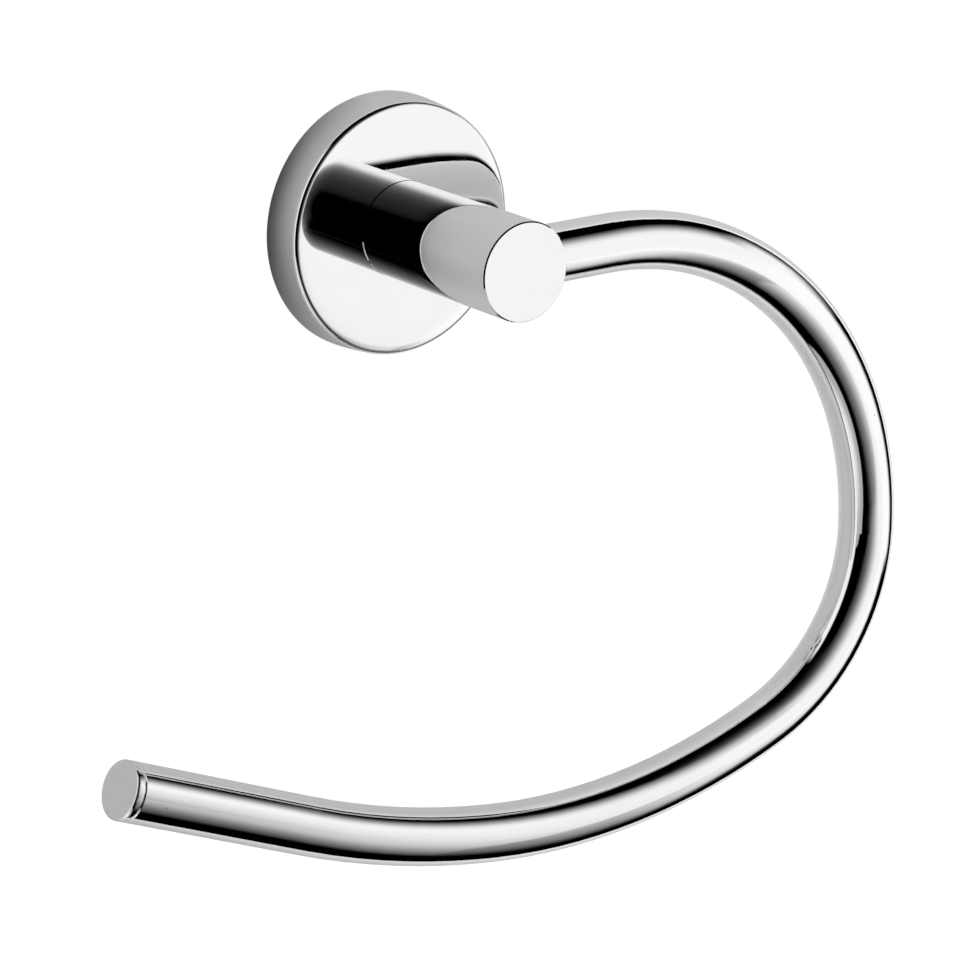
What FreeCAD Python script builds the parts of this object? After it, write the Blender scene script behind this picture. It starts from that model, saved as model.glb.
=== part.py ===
import FreeCAD, Part
import math
import os
import Sketcher

# Towel ring for a bathroom wall, all sizes in millimetres.
# Y = 0 is the wall, and the ring stands out from it towards -Y.
# The origin is the centre of the rose where it meets the wall. +Z is up.
# The arm leaves the post towards +X, and the tube bends down and back towards -X.

SIZES = [
    ("rose_diameter", 52.0, "round rose, at its front edge"),
    ("rose_flare", 0.8, "growth of the rose's radius from its front edge to the wall"),
    ("rose_depth", 9.2, "wall to the flat middle of the rose's front face"),
    ("rose_crown_width", 4.5, "width of the band where the front face falls away to the rim"),
    ("rose_crown_drop", 0.35, "how far the front face falls away there"),
    ("rose_edge_round", 0.8, "rounding of the rose's front edge"),
    ("rose_face_thickness", 2.0, "metal left behind the front face"),
    ("rose_wall", 1.5, "side wall of the rose at its front edge"),
    ("plate_face_gap", 2.0, "wall plate's front to the inside of the rose's face"),
    ("plate_clearance", 0.3, "gap all round between plate and rose"),
    ("plate_window_clearance", 1.0, "gap round the washer in the plate's middle hole"),
    ("anchor_web", 2.5, "metal between that hole and each wall screw's countersink"),
    ("anchor_hole_diameter", 4.8, "hole for a wall screw"),
    ("anchor_sink", 1.6, "countersink of each wall screw hole"),
    ("post_diameter", 20.0, "round post"),
    ("post_reach", 50.2, "wall to the post's front face"),
    ("post_edge", 0.25, "fine bevel round the post's two ends"),
    ("spigot_diameter", 10.0, "spigot that centres the post in the rose"),
    ("spigot_shy", 0.4, "how much shorter the spigot is than the rose's face is thick"),
    ("screw_diameter", 6.0, "screw that pulls the post onto the rose"),
    ("screw_length", 15.0, "length of that screw under its head"),
    ("screw_head_diameter", 10.0, "head of that screw"),
    ("screw_head_height", 3.0, "head of that screw"),
    ("screw_bevel", 0.4, "bevel round that screw's head and at its tip"),
    ("screw_hole_spare", 1.0, "tapped hole in the post beyond the screw's tip"),
    ("screw_key", 4.0, "hexagon key, across its flats"),
    ("screw_key_depth", 2.0, "depth of the hexagon"),
    ("washer_diameter", 16.0, "washer under that screw's head"),
    ("washer_thickness", 1.2, "washer under that screw's head"),
    ("washer_clearance", 0.2, "radial gap between washer and screw"),
    ("fit_clearance", 0.1, "radial gap of pieces that slide together"),
    ("thread_clearance", 0.05, "radial gap of a screw in its tapped hole"),
    ("grub_diameter", 4.0, "both grub screws"),
    ("grub_tip_diameter", 2.8, "plain tip of a grub screw"),
    ("grub_tip_reach", 2.0, "how far the tip enters its seat"),
    ("grub_bevel", 0.3, "bevel at both ends of a grub screw's thread"),
    ("grub_key", 2.0, "hexagon key, across its flats"),
    ("grub_key_depth", 1.5, "depth of the hexagon"),
    ("grub_sunk", 0.3, "how far a grub screw lies below the surface"),
    ("arm_cover", 2.5, "metal between the arm's socket and the post's front face"),
    ("socket_floor", 6.0, "metal behind the bottom of the arm's socket"),
    ("socket_end_gap", 0.2, "tube's end to the bottom of its socket"),
    ("arm_grub_offset", 3.0, "post's axis to the arm's grub screw"),
    ("arm_straight", 25.5, "post's axis to the first bend"),
    ("tube_diameter", 11.8, "bent tube"),
    ("tube_wall", 1.2, "bent tube"),
    ("tube_bevel", 0.15, "fine bevel at the tube's free end and the cap"),
    ("crown_radius", 72.5, "first bend, from the arm down the far side"),
    ("crown_angle", 91.0, "first bend"),
    ("hip_radius", 42.0, "second bend, at the lower corner"),
    ("hip_angle", 68.0, "second bend"),
    ("sweep_radius", 141.0, "third bend, along the underside"),
    ("sweep_angle", 30.5, "third bend"),
    ("tail_radius", 191.5, "fourth bend, towards the free end"),
    ("tail_angle", 14.0, "fourth bend"),
    ("tail_straight", 45.0, "last bend to the outer face of the end cap"),
    ("insert_length", 13.0, "plug inside the tube's socket end"),
    ("cap_head_length", 2.0, "head of the end cap"),
    ("cap_edge_round", 0.5, "rounding of the end cap's face"),
    ("cap_spigot_length", 8.0, "spigot of the end cap inside the tube"),
    ("cap_lead", 0.6, "lead-in bevel of that spigot"),
]

DRILL_POINT = 118.0


class Measure:
    """A length together with the sheet formula that gives it."""

    def __init__(self, value, formula):
        self.value = value
        self.formula = formula

    def __add__(self, other):
        return Measure(self.value + other.value, f"({self.formula} + {other.formula})")

    def __sub__(self, other):
        return Measure(self.value - other.value, f"({self.formula} - {other.formula})")

    def __truediv__(self, number):
        return Measure(self.value / number, f"({self.formula} / {number})")

    def __mul__(self, number):
        return Measure(self.value * number, f"({self.formula} * {number})")

    def __neg__(self):
        return Measure(-self.value, f"(0 - {self.formula})")


ZERO = Measure(0.0, "0")

doc = FreeCAD.newDocument("TowelRing")
sheet = doc.addObject("Spreadsheet::Sheet", "Sizes")
size = {}
for row, (alias, number, meaning) in enumerate(SIZES, start=1):
    sheet.set(f"A{row}", alias)
    sheet.set(f"B{row}", str(number))
    sheet.set(f"C{row}", meaning)
    sheet.setAlias(f"B{row}", alias)
    size[alias] = Measure(number, f"Sizes.{alias}")
doc.recompute()

# Radii and places that several pieces share
post_radius = size["post_diameter"] / 2
tube_radius = size["tube_diameter"] / 2
tube_bore_radius = tube_radius - size["tube_wall"]
rose_radius = size["rose_diameter"] / 2
rose_bore_radius = rose_radius - size["rose_wall"]
rose_inner_depth = size["rose_depth"] - size["rose_face_thickness"]
plate_radius = rose_bore_radius - size["plate_clearance"]
plate_thickness = rose_inner_depth - size["plate_face_gap"]
window_radius = size["washer_diameter"] / 2 + size["plate_window_clearance"]
anchor_radius = size["anchor_hole_diameter"] / 2
anchor_offset = window_radius + size["anchor_web"] + size["anchor_sink"] + anchor_radius
rose_grub_depth = plate_thickness / 2
arm_depth = size["post_reach"] - size["arm_cover"] - size["fit_clearance"] - tube_radius
socket_bottom = size["socket_floor"] - post_radius
tube_start = socket_bottom + size["socket_end_gap"]
tapped_grub_radius = size["grub_diameter"] / 2 + size["thread_clearance"]
grub_seat_radius = size["grub_tip_diameter"] / 2 + size["fit_clearance"]
tapped_post_radius = size["screw_diameter"] / 2 + size["thread_clearance"]

sub_parts = []


def new_body(label):
    body = doc.addObject("PartDesign::Body", label)
    body.Label = label
    sub_parts.append(body)
    return body


def new_sketch(body, name, role, lift=None):
    """A sketch on one of the body's own origin planes, lifted along the plane's normal."""
    sketch = body.newObject("Sketcher::SketchObject", name)
    plane = [item for item in body.Origin.OriginFeatures if item.Role == role][0]
    sketch.AttachmentSupport = [(plane, "")]
    sketch.MapMode = "FlatFace"
    if lift is not None:
        sketch.AttachmentOffset = FreeCAD.Placement(
            FreeCAD.Vector(0, 0, lift.value), FreeCAD.Rotation())
        sketch.setExpression("AttachmentOffset.Base.z", lift.formula)
    return sketch


def pin_point(sketch, geometry, end, across, up):
    """Hold one end or centre of a sketch element at a place given by two measures."""
    if across is ZERO:
        sketch.addConstraint(Sketcher.Constraint("PointOnObject", geometry, end, -2))
    else:
        index = sketch.addConstraint(
            Sketcher.Constraint("DistanceX", -1, 1, geometry, end, across.value))
        sketch.setExpression(f"Constraints[{index}]", across.formula)
    if up is ZERO:
        sketch.addConstraint(Sketcher.Constraint("PointOnObject", geometry, end, -1))
    else:
        index = sketch.addConstraint(
            Sketcher.Constraint("DistanceY", -1, 1, geometry, end, up.value))
        sketch.setExpression(f"Constraints[{index}]", up.formula)


def draw_outline(sketch, corners):
    """A closed outline of straight lines through corners given by measures."""
    count = len(corners)
    for index, (across, up) in enumerate(corners):
        after_across, after_up = corners[(index + 1) % count]
        sketch.addGeometry(Part.LineSegment(
            FreeCAD.Vector(across.value, up.value, 0),
            FreeCAD.Vector(after_across.value, after_up.value, 0)))
    for index in range(count):
        after = (index + 1) % count
        sketch.addConstraint(Sketcher.Constraint("Coincident", index, 2, after, 1))
    for index, (across, up) in enumerate(corners):
        pin_point(sketch, index, 1, across, up)


def draw_circle(sketch, across, up, radius):
    circle = sketch.addGeometry(Part.Circle(
        FreeCAD.Vector(across.value, up.value, 0), FreeCAD.Vector(0, 0, 1), radius.value))
    pin_point(sketch, circle, 3, across, up)
    index = sketch.addConstraint(Sketcher.Constraint("Radius", circle, radius.value))
    sketch.setExpression(f"Constraints[{index}]", radius.formula)


def draw_hexagon(sketch, flats):
    """A regular hexagon round the sketch's origin, by its size across the flats."""
    corner = flats.value / math.sqrt(3)
    points = [
        FreeCAD.Vector(corner * math.cos(math.radians(60 * k)),
                       corner * math.sin(math.radians(60 * k)), 0)
        for k in range(6)]
    for k in range(6):
        sketch.addGeometry(Part.LineSegment(points[k], points[(k + 1) % 6]))
    guide = sketch.addGeometry(Part.Circle(
        FreeCAD.Vector(0, 0, 0), FreeCAD.Vector(0, 0, 1), corner), True)
    sketch.addConstraint(Sketcher.Constraint("Coincident", guide, 3, -1, 1))
    for k in range(6):
        sketch.addConstraint(Sketcher.Constraint("Coincident", k, 2, (k + 1) % 6, 1))
        sketch.addConstraint(Sketcher.Constraint("PointOnObject", k, 1, guide))
    for k in range(1, 6):
        sketch.addConstraint(Sketcher.Constraint("Equal", 0, k))
    sketch.addConstraint(Sketcher.Constraint("PointOnObject", 0, 1, -1))
    index = sketch.addConstraint(Sketcher.Constraint("Diameter", guide, 2 * corner))
    sketch.setExpression(f"Constraints[{index}]", f"2 * {flats.formula} / sqrt(3)")


def revolve(body, name, sketch):
    turned = body.newObject("PartDesign::Revolution", name)
    turned.Profile = sketch
    turned.ReferenceAxis = (sketch, ["V_Axis"])
    turned.Angle = 360.0
    doc.recompute()
    return turned


def pocket(body, name, sketch, length=None, reverse=False):
    """Cut a sketch into the body, through everything or to a measured length."""
    before = body.Shape.Volume
    cut = body.newObject("PartDesign::Pocket", name)
    cut.Profile = sketch
    cut.Reversed = reverse
    if length is None:
        cut.Type = "ThroughAll"
    else:
        cut.Type = "Length"
        cut.Length = length.value
        cut.setExpression("Length", length.formula)
    doc.recompute()
    if body.Shape.Volume >= before:
        raise RuntimeError(f"{name} cuts nothing")
    return cut


def edges_where(shape, wanted):
    return [f"Edge{k}" for k, edge in enumerate(shape.Edges, start=1) if wanted(edge)]


def dress_edges(body, kind, name, base, wanted, measure):
    """Round or bevel the edges of a feature for which wanted(edge) holds."""
    names = edges_where(base.Shape, wanted)
    if not names:
        raise RuntimeError(f"{name} finds no edge")
    dressed = body.newObject(f"PartDesign::{kind}", name)
    dressed.Base = (base, names)
    if kind == "Fillet":
        dressed.Radius = measure.value
        dressed.setExpression("Radius", measure.formula)
    else:
        dressed.Size = measure.value
        dressed.setExpression("Size", measure.formula)
    doc.recompute()
    return dressed


def is_circle(edge, radius, level, axis):
    """True for a full circle of a radius, at a height along the Y or Z axis."""
    if not isinstance(edge.Curve, Part.Circle) or not edge.isClosed():
        return False
    centre = edge.Curve.Center.y if axis == "Y" else edge.Curve.Center.z
    return abs(edge.Curve.Radius - radius) < 1e-4 and abs(centre - level) < 1e-4


def make_wall_plate():
    """Round plate that is screwed to the wall and fills the rose's open back."""
    body = new_body("wall_plate")
    front = -plate_thickness
    section = new_sketch(body, "plate_section", "XY_Plane")
    draw_outline(section, [
        (window_radius, ZERO), (plate_radius, ZERO),
        (plate_radius, front), (window_radius, front)])
    revolve(body, "plate_disc", section)
    # two countersunk holes on a level line through the plate's centre
    anchors = new_sketch(body, "anchor_holes", "XZ_Plane")
    for across in (-anchor_offset, anchor_offset):
        draw_circle(anchors, across, ZERO, anchor_radius)
    holes = pocket(body, "anchor_cut", anchors, reverse=True)
    dress_edges(
        body, "Chamfer", "anchor_sinks", holes,
        lambda edge: is_circle(edge, anchor_radius.value, front.value, "Y"),
        size["anchor_sink"])
    # seat for the tip of the rose's grub screw, in the lower edge
    seat = new_sketch(
        body, "grub_seat", "XY_Plane", size["grub_tip_reach"] + size["fit_clearance"] - plate_radius)
    draw_circle(seat, ZERO, -rose_grub_depth, grub_seat_radius)
    pocket(body, "grub_seat_cut", seat)


def make_rose():
    """Hollow round rose: slightly tapered side, rounded front edge, thick crowned face."""
    body = new_body("rose")
    front = -size["rose_depth"]
    inside = -rose_inner_depth
    centre_hole = size["spigot_diameter"] / 2 + size["fit_clearance"]
    section = new_sketch(body, "rose_section", "XY_Plane")
    rim = front + size["rose_crown_drop"]
    draw_outline(section, [
        (centre_hole, front), (rose_radius - size["rose_crown_width"], front),
        (rose_radius, rim), (rose_radius + size["rose_flare"], ZERO), (rose_bore_radius, ZERO),
        (rose_bore_radius, inside), (centre_hole, inside)])
    turned = revolve(body, "rose_shell", section)
    dress_edges(
        body, "Fillet", "rose_edge", turned,
        lambda edge: is_circle(edge, rose_radius.value, rim.value, "Y"),
        size["rose_edge_round"])
    # tapped hole in the lower side for the grub screw
    tapped = new_sketch(body, "grub_hole", "XY_Plane")
    draw_circle(tapped, ZERO, -rose_grub_depth, tapped_grub_radius)
    pocket(body, "grub_hole_cut", tapped)


def make_post():
    """Turned post with a centring spigot, a tapped back end and the arm's socket."""
    body = new_body("post")
    back = -size["rose_depth"]
    front = -size["post_reach"]
    edge = size["post_edge"]
    spigot = size["spigot_diameter"] / 2
    spigot_end = back + size["rose_face_thickness"] - size["spigot_shy"]
    screw_tip = -(rose_inner_depth - size["washer_thickness"] + size["screw_length"])
    hole_end = screw_tip - size["screw_hole_spare"]
    drill_tip = hole_end - tapped_post_radius / math.tan(math.radians(DRILL_POINT / 2))
    section = new_sketch(body, "post_section", "XY_Plane")
    draw_outline(section, [
        (tapped_post_radius, spigot_end), (spigot, spigot_end), (spigot, back),
        (post_radius - edge, back), (post_radius, back - edge),
        (post_radius, front + edge), (post_radius - edge, front),
        (ZERO, front), (ZERO, drill_tip), (tapped_post_radius, hole_end)])
    revolve(body, "post_turned", section)
    # round socket for the tube, open towards +X
    socket = new_sketch(body, "arm_socket", "YZ_Plane", socket_bottom)
    draw_circle(socket, -arm_depth, ZERO, tube_radius + size["fit_clearance"])
    pocket(body, "arm_socket_cut", socket, reverse=True)
    # tapped hole from below into the socket
    tapped = new_sketch(body, "arm_grub_hole", "XY_Plane")
    draw_circle(tapped, size["arm_grub_offset"], -arm_depth, tapped_grub_radius)
    pocket(body, "arm_grub_hole_cut", tapped)


def bend_list():
    """Radius and angle of each bend, in order from the arm to the free end."""
    return [
        (size["crown_radius"], size["crown_angle"]),
        (size["hip_radius"], size["hip_angle"]),
        (size["sweep_radius"], size["sweep_angle"]),
        (size["tail_radius"], size["tail_angle"])]


def walk_bends():
    """Centre, start angle and end angle of each bend, and the last point and heading."""
    across = size["arm_straight"].value
    up = 0.0
    heading = 0.0
    arcs = []
    for radius, angle in bend_list():
        turn = math.radians(heading)
        centre_across = across - radius.value * math.sin(turn)
        centre_up = up - radius.value * math.cos(turn)
        arcs.append((centre_across, centre_up, 90.0 - heading - angle.value, 90.0 - heading))
        heading += angle.value
        turn = math.radians(heading)
        across = centre_across + radius.value * math.sin(turn)
        up = centre_up + radius.value * math.cos(turn)
    return arcs, across, up, heading


def make_ring_tube():
    """The tube: a straight arm, four bends that run into each other, a straight end."""
    body = new_body("ring_tube")
    path = new_sketch(body, "tube_path", "XZ_Plane", arm_depth)
    arcs, across, up, heading = walk_bends()
    arm = path.addGeometry(Part.LineSegment(
        FreeCAD.Vector(tube_start.value, 0, 0),
        FreeCAD.Vector(size["arm_straight"].value, 0, 0)))
    pin_point(path, arm, 1, tube_start, ZERO)
    pin_point(path, arm, 2, size["arm_straight"], ZERO)
    before = (arm, 2)
    for (radius, angle), (centre_across, centre_up, low, high) in zip(bend_list(), arcs):
        circle = Part.Circle(
            FreeCAD.Vector(centre_across, centre_up, 0), FreeCAD.Vector(0, 0, 1), radius.value)
        bend = path.addGeometry(Part.ArcOfCircle(circle, math.radians(low), math.radians(high)))
        path.addConstraint(Sketcher.Constraint("Tangent", before[0], before[1], bend, 2))
        index = path.addConstraint(Sketcher.Constraint("Radius", bend, radius.value))
        path.setExpression(f"Constraints[{index}]", radius.formula)
        index = path.addConstraint(
            Sketcher.Constraint("Angle", bend, math.radians(angle.value)))
        path.setExpression(f"Constraints[{index}]", f"{angle.formula} * 1 deg")
        before = (bend, 1)
    length = size["tail_straight"] - size["cap_head_length"]
    turn = math.radians(heading)
    tail = path.addGeometry(Part.LineSegment(
        FreeCAD.Vector(across, up, 0),
        FreeCAD.Vector(across + length.value * math.cos(turn),
                       up - length.value * math.sin(turn), 0)))
    path.addConstraint(Sketcher.Constraint("Tangent", before[0], before[1], tail, 1))
    index = path.addConstraint(Sketcher.Constraint("Distance", tail, length.value))
    path.setExpression(f"Constraints[{index}]", length.formula)
    profile = new_sketch(body, "tube_profile", "YZ_Plane", tube_start)
    draw_circle(profile, -arm_depth, ZERO, tube_radius)
    draw_circle(profile, -arm_depth, ZERO, tube_bore_radius)
    doc.recompute()
    pipe = body.newObject("PartDesign::AdditivePipe", "tube_sweep")
    pipe.Profile = profile
    pipe.Spine = path
    doc.recompute()
    # hole for the tip of the arm's grub screw, in the tube's lower side
    seat = new_sketch(body, "tube_grub_seat", "XY_Plane")
    draw_circle(seat, size["arm_grub_offset"], -arm_depth, grub_seat_radius)
    seat_cut = pocket(body, "tube_grub_cut", seat, tube_radius)
    # fine bevel at the free end
    end_across = across + length.value * math.cos(turn)
    dress_edges(
        body, "Chamfer", "tube_end_bevel", seat_cut,
        lambda edge: isinstance(edge.Curve, Part.Circle)
        and abs(edge.Curve.Radius - tube_radius.value) < 1e-4
        and edge.isClosed()
        and abs(edge.Curve.Center.x - end_across) < 1e-3,
        size["tube_bevel"])


def make_tube_insert():
    """Solid plug soldered into the socket end of the tube, with a seat for the grub screw."""
    rod = doc.addObject("Part::Cylinder", "insert_rod")
    insert_radius = tube_bore_radius - size["fit_clearance"]
    rod.setExpression("Radius", insert_radius.formula)
    rod.setExpression("Height", size["insert_length"].formula)
    rod.Placement.Rotation = FreeCAD.Rotation(FreeCAD.Vector(0, 1, 0), 90)
    rod.setExpression("Placement.Base.x", tube_start.formula)
    rod.setExpression("Placement.Base.y", (-arm_depth).formula)
    seat = doc.addObject("Part::Cylinder", "insert_seat")
    seat_top = tube_radius - size["tube_wall"] - size["grub_tip_reach"]
    seat.setExpression("Radius", grub_seat_radius.formula)
    seat.setExpression("Height", tube_radius.formula)
    seat.setExpression("Placement.Base.x", size["arm_grub_offset"].formula)
    seat.setExpression("Placement.Base.y", (-arm_depth).formula)
    seat.setExpression("Placement.Base.z", (-(seat_top + tube_radius)).formula)
    insert = doc.addObject("Part::Cut", "tube_insert")
    insert.Base = rod
    insert.Tool = seat
    insert.Label = "tube_insert"
    sub_parts.append(insert)


def make_grub_screw(label, length, place):
    """Headless screw along its own Z axis: key end at the origin, plain tip at the far end."""
    body = new_body(label)
    thread = size["grub_diameter"] / 2
    tip = size["grub_tip_diameter"] / 2
    shoulder = length - size["grub_tip_reach"]
    bevel = size["grub_bevel"]
    section = new_sketch(body, f"{label}_section", "XZ_Plane")
    draw_outline(section, [
        (ZERO, ZERO), (thread - bevel, ZERO), (thread, bevel), (thread, shoulder - bevel),
        (thread - bevel, shoulder), (tip, shoulder), (tip, length), (ZERO, length)])
    revolve(body, f"{label}_turned", section)
    key = new_sketch(body, f"{label}_key", "XY_Plane")
    draw_hexagon(key, size["grub_key"])
    pocket(body, f"{label}_key_cut", key, size["grub_key_depth"], reverse=True)
    body.Placement = place


def make_post_screw():
    """Low-head screw from inside the rose into the post's tapped back end."""
    body = new_body("post_screw")
    head = size["screw_head_diameter"] / 2
    thread = size["screw_diameter"] / 2
    height = size["screw_head_height"]
    bevel = size["screw_bevel"]
    tip = height + size["screw_length"]
    section = new_sketch(body, "screw_section", "XZ_Plane")
    draw_outline(section, [
        (ZERO, ZERO), (head - bevel, ZERO), (head, bevel), (head, height),
        (thread, height), (thread, tip - bevel), (thread - bevel, tip), (ZERO, tip)])
    revolve(body, "screw_turned", section)
    key = new_sketch(body, "screw_key", "XY_Plane")
    draw_hexagon(key, size["screw_key"])
    pocket(body, "screw_key_cut", key, size["screw_key_depth"], reverse=True)
    head_top = rose_inner_depth - size["washer_thickness"] - height
    body.Placement = FreeCAD.Placement(
        FreeCAD.Vector(0, -head_top.value, 0),
        FreeCAD.Rotation(FreeCAD.Vector(1, 0, 0), 90))


def make_post_washer():
    """Flat washer between the screw's head and the inside of the rose's face."""
    disc = doc.addObject("Part::Cylinder", "washer_disc")
    disc.setExpression("Radius", (size["washer_diameter"] / 2).formula)
    disc.setExpression("Height", size["washer_thickness"].formula)
    hole = doc.addObject("Part::Cylinder", "washer_hole")
    hole.setExpression("Radius", (size["screw_diameter"] / 2 + size["washer_clearance"]).formula)
    hole.setExpression("Height", size["washer_thickness"].formula)
    washer = doc.addObject("Part::Cut", "post_washer")
    washer.Base = disc
    washer.Tool = hole
    washer.Label = "post_washer"
    washer.Placement = FreeCAD.Placement(
        FreeCAD.Vector(0, -(rose_inner_depth - size["washer_thickness"]).value, 0),
        FreeCAD.Rotation(FreeCAD.Vector(1, 0, 0), 90))
    sub_parts.append(washer)


def make_end_cap():
    """Turned cap that closes the tube: round-edged head on a spigot with a lead-in."""
    body = new_body("end_cap")
    spigot = tube_bore_radius - size["fit_clearance"]
    head = size["cap_head_length"]
    bevel = size["tube_bevel"]
    lead = size["cap_lead"]
    foot = -size["cap_spigot_length"]
    section = new_sketch(body, "cap_section", "XZ_Plane")
    draw_outline(section, [
        (ZERO, head), (ZERO, foot), (spigot - lead, foot), (spigot, foot + lead),
        (spigot, ZERO), (tube_radius - bevel, ZERO), (tube_radius, bevel), (tube_radius, head)])
    turned = revolve(body, "cap_turned", section)
    dress_edges(
        body, "Fillet", "cap_edge", turned,
        lambda edge: is_circle(edge, tube_radius.value, head.value, "Z"),
        size["cap_edge_round"])
    arcs, across, up, heading = walk_bends()
    turn = math.radians(heading)
    length = size["tail_straight"].value - size["cap_head_length"].value
    body.Placement = FreeCAD.Placement(
        FreeCAD.Vector(across + length * math.cos(turn), -arm_depth.value,
                       up - length * math.sin(turn)),
        FreeCAD.Rotation(FreeCAD.Vector(0, 1, 0), 90 + heading))


def make_rose_grub_screw():
    """Grub screw that locks the rose on its wall plate, from below."""
    flare_left = 1 - rose_grub_depth.value / size["rose_depth"].value
    surface = rose_radius + size["rose_flare"] * flare_left
    outer = surface - size["grub_sunk"]
    inner = plate_radius - size["grub_tip_reach"]
    make_grub_screw("rose_grub_screw", outer - inner, FreeCAD.Placement(
        FreeCAD.Vector(0, -rose_grub_depth.value, -outer.value), FreeCAD.Rotation()))


def make_arm_grub_screw():
    """Grub screw that locks the tube in the post, from below."""
    edge = size["arm_grub_offset"] + size["grub_diameter"] / 2
    surface = Measure(
        math.sqrt(post_radius.value ** 2 - edge.value ** 2),
        f"sqrt({post_radius.formula} ^ 2 - {edge.formula} ^ 2)")
    outer = surface - size["grub_sunk"]
    inner = tube_radius - size["grub_tip_reach"]
    make_grub_screw("arm_grub_screw", outer - inner, FreeCAD.Placement(
        FreeCAD.Vector(size["arm_grub_offset"].value, -arm_depth.value, -outer.value),
        FreeCAD.Rotation()))


make_wall_plate()
make_rose()
make_rose_grub_screw()
make_post_washer()
make_post_screw()
make_post()
make_ring_tube()
make_tube_insert()
make_arm_grub_screw()
make_end_cap()
doc.recompute()

for item in doc.Objects:
    if "Invalid" in item.State or "Error" in item.State:
        raise RuntimeError(f"{item.Label} has failed: {item.State}")
for piece in sub_parts:
    if piece.Shape.isNull() or not piece.Shape.isValid():
        raise RuntimeError(f"{piece.Label} has no valid shape")
    if len(piece.Shape.Solids) != 1:
        raise RuntimeError(f"{piece.Label} is not one solid")

os.makedirs("parts", exist_ok=True)
for piece in sub_parts:
    piece.Shape.exportStep(f"parts/{piece.Label}.step")
    box = piece.Shape.BoundBox
    print(f"{piece.Label}: volume {piece.Shape.Volume:.1f}, "
          f"X {box.XMin:.2f} to {box.XMax:.2f}, Y {box.YMin:.2f} to {box.YMax:.2f}, "
          f"Z {box.ZMin:.2f} to {box.ZMax:.2f}")
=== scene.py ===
import math

import bmesh
import bpy
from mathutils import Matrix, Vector


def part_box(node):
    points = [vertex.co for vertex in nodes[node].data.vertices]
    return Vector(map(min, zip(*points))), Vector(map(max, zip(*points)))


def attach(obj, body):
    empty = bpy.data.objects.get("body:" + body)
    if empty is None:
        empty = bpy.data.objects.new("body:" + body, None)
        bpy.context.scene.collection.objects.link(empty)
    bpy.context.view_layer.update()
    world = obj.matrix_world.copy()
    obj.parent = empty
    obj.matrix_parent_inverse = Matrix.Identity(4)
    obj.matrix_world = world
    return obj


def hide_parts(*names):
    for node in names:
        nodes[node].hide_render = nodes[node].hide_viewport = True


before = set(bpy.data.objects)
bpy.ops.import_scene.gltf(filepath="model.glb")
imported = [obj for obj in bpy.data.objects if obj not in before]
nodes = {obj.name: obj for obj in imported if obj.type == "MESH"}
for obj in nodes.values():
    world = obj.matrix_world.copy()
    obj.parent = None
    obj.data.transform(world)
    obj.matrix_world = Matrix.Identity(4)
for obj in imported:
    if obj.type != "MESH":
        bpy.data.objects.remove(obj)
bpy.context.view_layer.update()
scene = bpy.context.scene

# Where the photographer stood
CAMERA_AZIMUTH = math.radians(-36.102)
CAMERA_ELEVATION = math.radians(18.298)
CAMERA_DISTANCE = 0.78458
CAMERA_TARGET = Vector((0.02568, 0.0, -0.06048))
CAMERA_LENS = 138.9
CAMERA_SENSOR = 36.0
CAMERA_NEAREST = 0.05
CAMERA_FARTHEST = 50.0

# Polish, film and dust on the metals
CHROME_CLEAN = (0.905, 0.908, 0.915)
CHROME_FILMED = (0.885, 0.888, 0.895)
CHROME_WIPE_STRETCH = 4.0
CHROME_RELIEF = (0.02, 0.00002)
CAP_EDGE_SOFTNESS = 0.0011
EDGE_SAMPLES = 16
HAIRLINE_FINENESS = 1500.0
HAIRLINE_STRETCH = 40.0
DUST_COLOUR = (0.12, 0.11, 0.10)
DUST_SPACING = 170.0
DUST_SIZE = 0.03
DUST_DULLNESS = 0.5
LINT_FINENESS = 1800.0
LINT_WARP = 0.0007
BRUSHED_CLOUD_SIZE = 90.0
BRUSHED_WIPE_STRETCH = 3.0
BRUSHED_RELIEF = (0.25, 0.00004)
ZINC_DARK = (0.52, 0.54, 0.56)
ZINC_LIGHT = (0.70, 0.71, 0.70)
ZINC_FLAKE_SPACING = 1400.0
ZINC_CLOUD_SIZE = 120.0
ZINC_WIPE_STRETCH = 2.0
ZINC_ROUGHNESS = (0.32, 0.5)
ZINC_RELIEF = (0.3, 0.00003)

SOFT = "SMOOTHSTEP"
WHITE = (1.0, 1.0, 1.0, 1.0)

# How close two measures are when they count as the same
SNUG = 1e-6
SNUG_ANGLE = 0.01
NEARLY_PARALLEL = 1e-9


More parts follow.
